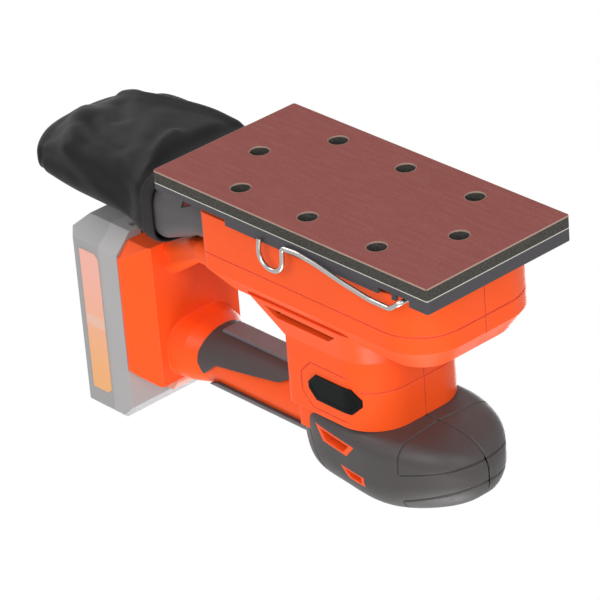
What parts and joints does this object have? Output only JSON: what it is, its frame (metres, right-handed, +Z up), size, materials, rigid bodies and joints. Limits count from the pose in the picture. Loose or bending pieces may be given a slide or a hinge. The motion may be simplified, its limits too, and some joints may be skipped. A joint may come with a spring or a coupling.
{
  "type": "orbital sander",
  "caption": "Cordless third-sheet orbital sander with a rounded palm grip, loop handle, slide-on battery, wire paper clamps and a cloth dust bag.",
  "frame": {"origin": "centre of the sanding face, which rests on the floor", "axes": "+X to the tool's left, +Y to its rear, where the dust bag is, +Z up through the palm grip; the front of the pad faces -Y"},
  "size_m": [0.0988, 0.2996, 0.168],
  "materials": {
    "orange_shell": "satin moulded shell",
    "soft_grip": "soft matt overmould",
    "badge_black": "blank plate",
    "dark_plastic": "fine grained moulding",
    "bag_cloth": "woven cloth",
    "abrasive": "abrasive grit on paper",
    "foam": "open foam",
    "film": "thin film",
    "steel": "machined",
    "bright_wire": "bright drawn wire",
    "iron": "laminated",
    "copper": "copper",
    "carbon": "carbon block",
    "black_plastic": "moulded",
    "board_green": "circuit board",
    "lead_red": "insulated lead",
    "pack_grey": "pale satin moulding",
    "pack_label": "blank label",
    "pack_button": "satin moulding",
    "cell_wrap": "wrapped cell",
    "grey_trigger": "fine grained moulding"
  },
  "bodies": {
    "tool": {"housing_left": "orange_shell", "housing_right": "orange_shell", "palm_grip_left": "soft_grip", "palm_grip_right": "soft_grip", "grip_pad_left": "soft_grip", "grip_pad_right": "soft_grip", "handle_top_strip": "soft_grip", "badge_left": "badge_black", "badge_right": "badge_black", "housing_screws": "steel", "base_plate": "black_plastic", "base_screws": "steel", "rubber_legs": "soft_grip", "lower_bearing": "steel", "upper_bearing": "steel", "bearing_plate": "black_plastic", "motor_can": "steel", "motor_magnets": "iron", "brush_cap": "black_plastic", "carbon_brushes": "carbon", "switch_body": "black_plastic", "trigger_spring": "steel", "motor_leads": "lead_red", "battery_leads": "lead_red", "control_board": "board_green", "terminal_block": "black_plastic", "terminal_blades": "copper"},
    "drive": {"drive_shaft": "steel", "counterweight": "iron", "fan": "black_plastic", "armature": "iron", "commutator": "copper", "pad_washer": "steel", "pad_screw": "steel"},
    "pad": {"sanding_sheet": "abrasive", "foam_pad": "foam", "pad_film": "film", "platen": "dark_plastic", "pad_bearing": "steel"},
    "front_clamp": {"front_clamp_wire": "bright_wire", "front_clamp_jaw": "steel"},
    "rear_clamp": {"rear_clamp_wire": "bright_wire", "rear_clamp_jaw": "steel"},
    "trigger": {"trigger": "grey_trigger"},
    "battery": {"battery_front_shell": "pack_grey", "battery_rear_shell": "pack_grey", "battery_cells": "cell_wrap", "battery_labels": "pack_label", "release_spring": "steel", "battery_contacts": "copper"},
    "release": {"battery_release": "pack_button"},
    "dust_box": {"dust_collar": "dark_plastic", "dust_bag": "bag_cloth"}
  },
  "joints": [
    {"name": "drive_spin", "type": "hinge", "parent": "tool", "child": "drive", "pos_m": [0, -0.006, 0.05], "axis": [0, 0, 1], "continuous": true},
    {"name": "pad_orbit", "type": "hinge", "parent": "drive", "child": "pad", "pos_m": [0, -0.007, 0.0155], "axis": [0, 0, 1], "continuous": true},
    {"name": "front_clamp_lift", "type": "hinge", "parent": "pad", "child": "front_clamp", "pos_m": [0, -0.077, 0.0122], "axis": [1, 0, 0], "range_deg": [0, 35]},
    {"name": "rear_clamp_lift", "type": "hinge", "parent": "pad", "child": "rear_clamp", "pos_m": [0, 0.077, 0.0122], "axis": [-1, 0, 0], "range_deg": [0, 35]},
    {"name": "trigger_press", "type": "slide", "parent": "tool", "child": "trigger", "axis": [0, 0, 1], "range_m": [0, 0.003], "stiffness_N_per_m": 900, "springref_m": -0.001, "deforming": ["trigger_spring"]},
    {"name": "battery_slide", "type": "slide", "parent": "tool", "child": "battery", "axis": [0, 0, 1], "range_m": [0, 0.075]},
    {"name": "battery_release_press", "type": "slide", "parent": "battery", "child": "release", "axis": [0, 1, 0], "range_m": [0, 0.0025], "stiffness_N_per_m": 900, "springref_m": -0.001},
    {"name": "dust_box_pull", "type": "slide", "parent": "tool", "child": "dust_box", "axis": [0, 1, 0], "range_m": [0, 0.06]}
  ],
  "couplings": [
    {"joint": "pad_orbit", "follows": "drive_spin", "ratio": -1}
  ]
}
